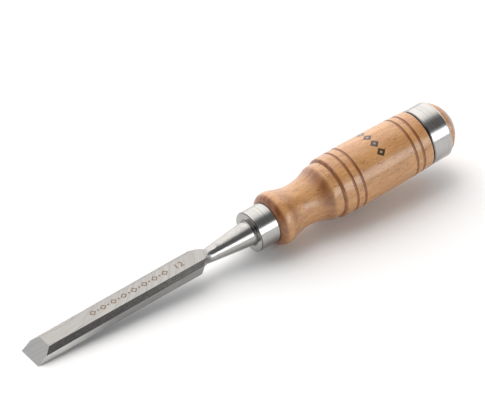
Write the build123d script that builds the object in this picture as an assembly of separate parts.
"""Bevel-edged bench chisel with a steel ferrule and a hooped beech handle.

Millimetres. The tool's axis lies along X: the cutting edge points to -X and
the handle to +X. +Z is square to the ground top face of the blade, so the
flat back faces -Z. The origin is on the axis, in the plane of the ferrule's
front face, where the neck of the blade lands on it.
"""
import math
import os

from build123d import *

# Blade: one steel forging made of the blade, the neck and the tang
BLADE_WIDTH = 12.0
EDGE_X = -111.5
BACK_Z = -1.7
TOP_Z = 3.2
TOP_FLAT_WIDTH = 7.3
LAND_TOP_AT_EDGE = 1.2
LAND_TOP_AT_SHOULDER = 1.95
LAND_END_X = -28.5
CUTTING_BEVEL_ANGLE = 32.5
GRINDING_WHEEL_RADIUS = 9.0
TOP_GRIND_END_X = -20.0
BACK_GRIND_END_X = -23.0

# Neck: a cone that grows towards the ferrule, with a small foot
NECK_START_X = -20.4
NECK_START_RADIUS = 3.4
NECK_ROOT_X = -27.0
NECK_END_RADIUS = 5.6
NECK_FOOT_LENGTH = 0.9
NECK_FOOT_RADIUS = 6.2

# Shoulder: a hollow ground round the blade's end, leaning towards the handle at the top
SHOULDER_X = -21.5
SHOULDER_RADIUS = 8.5
SHOULDER_THROAT_RADIUS = 3.15
SHOULDER_LEAN = 14.0

# Tang: a square spike inside the handle
TANG_LENGTH = 55.0
TANG_ROOT_SIDE = 6.0
TANG_TIP_SIDE = 3.0
TANG_TIP_CLEARANCE = 1.5

# Ferrule: a turned steel cup over the front end of the handle
FERRULE_RADIUS = 9.15
FERRULE_LENGTH = 9.85
FERRULE_WALL = 1.1
FERRULE_FRONT_WALL = 1.2
FERRULE_HOLE_RADIUS = 4.6
FERRULE_EDGE_RADIUS = 0.35

# Handle: turned beech
BEAD_START_RADIUS = 9.7
BEAD_CREST = (13.4, 12.1)
BEAD_FRONT = (11.2, 11.45)
WAIST = [(17.5, 11.3), (21.5, 10.25), (25.8, 9.8), (30.5, 10.2), (35.0, 11.5)]
FLARE_TOP = (37.5, 12.45)
FLARE_CREST = (38.8, 12.6)
FLARE_BAND_END_X = 41.4
BARREL_START = (42.8, 13.8)
BARREL_MIDDLE = (62.0, 13.95)
BARREL_END = (90.3, 13.3)
BARREL_END_ROUND = 0.45
GROOVE_POSITIONS = [47.8, 52.1, 81.0, 84.8]
GROOVE_HALF_WIDTH = 0.65
GROOVE_RADIUS = 0.75
HOOP_SEAT_RADIUS = 11.6
DOME_START_X = 102.9
DOME_RADIUS = 14.1

# Striking hoop: a steel ring shrunk on the far end of the handle
HOOP_FRONT_X = 91.0
HOOP_LENGTH = 10.4
HOOP_RADIUS = 13.1
HOOP_FRONT_CHAMFER = 0.3
HOOP_REAR_ROUND = 1.3

# How far the cutting shapes reach past the steel they remove
MARGIN = 4.0


def turned(outline):
    """Solid of revolution about X from a closed outline in (x, radius)."""
    return revolve(make_face(outline), Axis.X)


def barrel_radius(x):
    """Radius of the barrel at x, on the arc through its three points."""
    (x0, r0), (x1, r1), (x2, r2) = BARREL_START, BARREL_MIDDLE, BARREL_END
    first = r0 * (x - x1) * (x - x2) / ((x0 - x1) * (x0 - x2))
    second = r1 * (x - x0) * (x - x2) / ((x1 - x0) * (x1 - x2))
    third = r2 * (x - x0) * (x - x1) / ((x2 - x0) * (x2 - x1))
    return first + second + third


def barrel_arc(start_x, end_x):
    """Stretch of the barrel's outline between two positions."""
    xs = (start_x, (start_x + end_x) / 2, end_x)
    return ThreePointArc(*[(x, barrel_radius(x)) for x in xs])


def barrel_outline(end_x):
    """The barrel's outline with a round-bottomed groove at each position."""
    curves = []
    start_x = BARREL_START[0]
    for x in GROOVE_POSITIONS:
        left = x - GROOVE_HALF_WIDTH
        right = x + GROOVE_HALF_WIDTH
        curves.append(barrel_arc(start_x, left))
        curves.append(RadiusArc((left, barrel_radius(left)), (right, barrel_radius(right)), -GROOVE_RADIUS))
        start_x = right
    curves.append(barrel_arc(start_x, end_x))
    return curves


def neck():
    """Cone from inside the blade to the ferrule, with its small foot."""
    slope = (NECK_END_RADIUS - NECK_START_RADIUS) / (-NECK_FOOT_LENGTH - NECK_START_X)
    root_radius = NECK_START_RADIUS + slope * (NECK_ROOT_X - NECK_START_X)
    root = (NECK_ROOT_X, root_radius)
    neck_end = (-NECK_FOOT_LENGTH, NECK_END_RADIUS)
    foot = (0, NECK_FOOT_RADIUS)
    outline = [
        Polyline((0, 0), (NECK_ROOT_X, 0), root, neck_end),
        TangentArc(neck_end, foot, tangent=(1, slope)),
        Line(foot, (0, 0)),
    ]
    return turned(outline)


def shoulder_cut():
    """Steel removed round the end of the blade by the leaning hollow."""
    reach = BLADE_WIDTH
    rise = stock_radius() + MARGIN / 2 - SHOULDER_THROAT_RADIUS
    run = math.sqrt(SHOULDER_RADIUS**2 - (SHOULDER_RADIUS - rise) ** 2)
    throat = (0, SHOULDER_THROAT_RADIUS)
    rim = (-run, SHOULDER_THROAT_RADIUS + rise)
    outline = [
        Line((0, 0), throat),
        RadiusArc(throat, rim, SHOULDER_RADIUS),
        Polyline(rim, (-run, 2 * reach), (reach, 2 * reach), (reach, 0), (0, 0)),
    ]
    return Pos(SHOULDER_X, 0, 0) * Rot(0, SHOULDER_LEAN, 0) * turned(outline)


def stock_radius():
    """Radius of round stock that holds the whole blade."""
    return BLADE_WIDTH / 2 + 1


def forging_envelope():
    """Round stock of the blade, cut back to the shoulder, with the neck on it."""
    radius = stock_radius()
    end_x = NECK_START_X + MARGIN
    stock = turned([Polyline((EDGE_X, 0), (EDGE_X, radius), (end_x, radius), (end_x, 0), (EDGE_X, 0))])
    return stock - shoulder_cut() + neck()


def grinding_cut(level, end_x, up):
    """Steel removed above (or below) a ground flat, with the wheel's run-out."""
    start_x = EDGE_X - MARGIN
    far = level + up * BLADE_WIDTH
    reach = GRINDING_WHEEL_RADIUS * 0.8
    rise = GRINDING_WHEEL_RADIUS - math.sqrt(GRINDING_WHEEL_RADIUS**2 - reach**2)
    run_out = (end_x + reach, level + up * rise)
    with BuildSketch(Plane.XZ) as side:
        with BuildLine():
            Polyline(run_out, (end_x + reach, far), (start_x, far), (start_x, level), (end_x, level))
            TangentArc((end_x, level), run_out, tangent=(1, 0))
        make_face()
    return extrude(side.sketch, BLADE_WIDTH, both=True)


def bevel_triangle(x, land_top, side):
    """Section at x of the steel outside a side bevel with this land height."""
    half_flat = TOP_FLAT_WIDTH / 2
    half_width = BLADE_WIDTH / 2
    drop = MARGIN * (TOP_Z - land_top) / (half_width - half_flat)
    inner = (side * (half_flat - MARGIN), TOP_Z + drop)
    outer = (side * (half_width + MARGIN), land_top - drop)
    corner = (side * (half_width + MARGIN), TOP_Z + drop)
    plane = Plane(origin=(x, 0, 0), x_dir=(0, 1, 0), z_dir=(1, 0, 0))
    return plane * make_face(Polyline(inner, outer, corner, close=True))


def side_bevel_cut(side):
    """Steel removed above one long side bevel; the land below it deepens."""
    at_edge = bevel_triangle(EDGE_X, LAND_TOP_AT_EDGE, side)
    at_shoulder = bevel_triangle(LAND_END_X, LAND_TOP_AT_SHOULDER, side)
    return loft([at_edge, at_shoulder], ruled=True)


def shoulder_bevel_cut(side):
    """The side bevel carried on past the shoulder at its last height."""
    return extrude(bevel_triangle(LAND_END_X, LAND_TOP_AT_SHOULDER, side), 1.5 * MARGIN)


def land_cut(side):
    """Steel removed outside one vertical side of the blade."""
    half_width = BLADE_WIDTH / 2
    length = LAND_END_X - EDGE_X + 2 * MARGIN
    block = Box(length, MARGIN, 4 * half_width)
    return Pos((LAND_END_X + EDGE_X) / 2, side * (half_width + MARGIN / 2), 0) * block


def cutting_bevel_cut():
    """Steel removed above the bevel that makes the cutting edge."""
    height = TOP_Z - BACK_Z + MARGIN
    run = height / math.tan(math.radians(CUTTING_BEVEL_ANGLE))
    start = (EDGE_X, BACK_Z)
    end = (EDGE_X + run, BACK_Z + height)
    with BuildSketch(Plane.XZ) as side:
        with BuildLine():
            Polyline(start, end, (EDGE_X - MARGIN, end[1]), (EDGE_X - MARGIN, BACK_Z), close=True)
        make_face()
    return extrude(side.sketch, BLADE_WIDTH, both=True)


def tang(extra_length=0.0):
    """Tapered square spike, from the foot of the neck into the handle."""
    taper = (TANG_ROOT_SIDE - TANG_TIP_SIDE) / TANG_LENGTH
    length = TANG_LENGTH + extra_length
    tip_side = TANG_ROOT_SIDE - taper * length
    root = Plane.YZ * Rectangle(TANG_ROOT_SIDE, TANG_ROOT_SIDE)
    tip = Plane.YZ.offset(length) * Rectangle(tip_side, tip_side)
    return loft([root, tip], ruled=True)


def blade():
    body = forging_envelope()
    body -= grinding_cut(TOP_Z, TOP_GRIND_END_X, 1)
    body -= grinding_cut(BACK_Z, BACK_GRIND_END_X, -1)
    for side in (-1, 1):
        body -= land_cut(side)
        body -= side_bevel_cut(side)
        body -= shoulder_bevel_cut(side)
    body -= cutting_bevel_cut()
    return body + tang()


def ferrule():
    inner = FERRULE_RADIUS - FERRULE_WALL
    edge = FERRULE_EDGE_RADIUS
    back = FERRULE_LENGTH
    outline = [
        Polyline((edge, FERRULE_RADIUS), (back - edge, FERRULE_RADIUS)),
        RadiusArc((back - edge, FERRULE_RADIUS), (back, FERRULE_RADIUS - edge), edge),
        Polyline(
            (back, FERRULE_RADIUS - edge),
            (back, inner),
            (FERRULE_FRONT_WALL, inner),
            (FERRULE_FRONT_WALL, FERRULE_HOLE_RADIUS),
            (0, FERRULE_HOLE_RADIUS),
            (0, FERRULE_RADIUS - edge),
        ),
        RadiusArc((0, FERRULE_RADIUS - edge), (edge, FERRULE_RADIUS), edge),
    ]
    return turned(outline)


def handle_profile():
    """Outline of the turned beech, from the tenon to the domed end."""
    tenon_radius = FERRULE_RADIUS - FERRULE_WALL
    bead_start = (FERRULE_LENGTH, BEAD_START_RADIUS)
    flare_band_end = (FLARE_BAND_END_X, FLARE_CREST[1])
    lip_x = BARREL_END[0] - BARREL_END_ROUND
    barrel_lip = (lip_x, barrel_radius(lip_x))
    barrel_edge = (BARREL_END[0], BARREL_END[1] - BARREL_END_ROUND)
    dome_start = (DOME_START_X, HOOP_SEAT_RADIUS)
    dome_centre_x = DOME_START_X - math.sqrt(DOME_RADIUS**2 - HOOP_SEAT_RADIUS**2)
    dome_tip = (dome_centre_x + DOME_RADIUS, 0)
    return [
        Polyline(
            (FERRULE_FRONT_WALL, 0),
            (FERRULE_FRONT_WALL, tenon_radius),
            (FERRULE_LENGTH, tenon_radius),
            bead_start,
        ),
        Spline(bead_start, BEAD_FRONT, BEAD_CREST, *WAIST, FLARE_TOP, FLARE_CREST),
        Line(FLARE_CREST, flare_band_end),
        TangentArc(flare_band_end, BARREL_START, tangent=(0.3, 1)),
        *barrel_outline(lip_x),
        RadiusArc(barrel_lip, barrel_edge, BARREL_END_ROUND),
        Polyline(barrel_edge, (BARREL_END[0], HOOP_SEAT_RADIUS), dome_start),
        RadiusArc(dome_start, dome_tip, DOME_RADIUS),
        Line(dome_tip, (FERRULE_FRONT_WALL, 0)),
    ]


def handle():
    return turned(handle_profile()) - tang(TANG_TIP_CLEARANCE)


def striking_hoop():
    front = HOOP_FRONT_X
    back = HOOP_FRONT_X + HOOP_LENGTH
    chamfer = HOOP_FRONT_CHAMFER
    shoulder = (back - HOOP_REAR_ROUND, HOOP_RADIUS)
    rim = (back, HOOP_RADIUS - HOOP_REAR_ROUND)
    outline = [
        Polyline(
            rim,
            (back, HOOP_SEAT_RADIUS),
            (front, HOOP_SEAT_RADIUS),
            (front, HOOP_RADIUS - chamfer),
            (front + chamfer, HOOP_RADIUS),
            shoulder,
        ),
        RadiusArc(shoulder, rim, HOOP_REAR_ROUND),
    ]
    return turned(outline)


if __name__ == "__main__":
    os.makedirs("parts", exist_ok=True)
    parts = {
        "blade": blade(),
        "ferrule": ferrule(),
        "handle": handle(),
        "striking_hoop": striking_hoop(),
    }
    for name, shape in parts.items():
        box = shape.bounding_box()
        print(name, "volume", round(shape.volume, 1), "solids", len(shape.solids()))
        print("  from", [round(v, 2) for v in box.min], "to", [round(v, 2) for v in box.max])
        export_step(shape, f"parts/{name}.step")
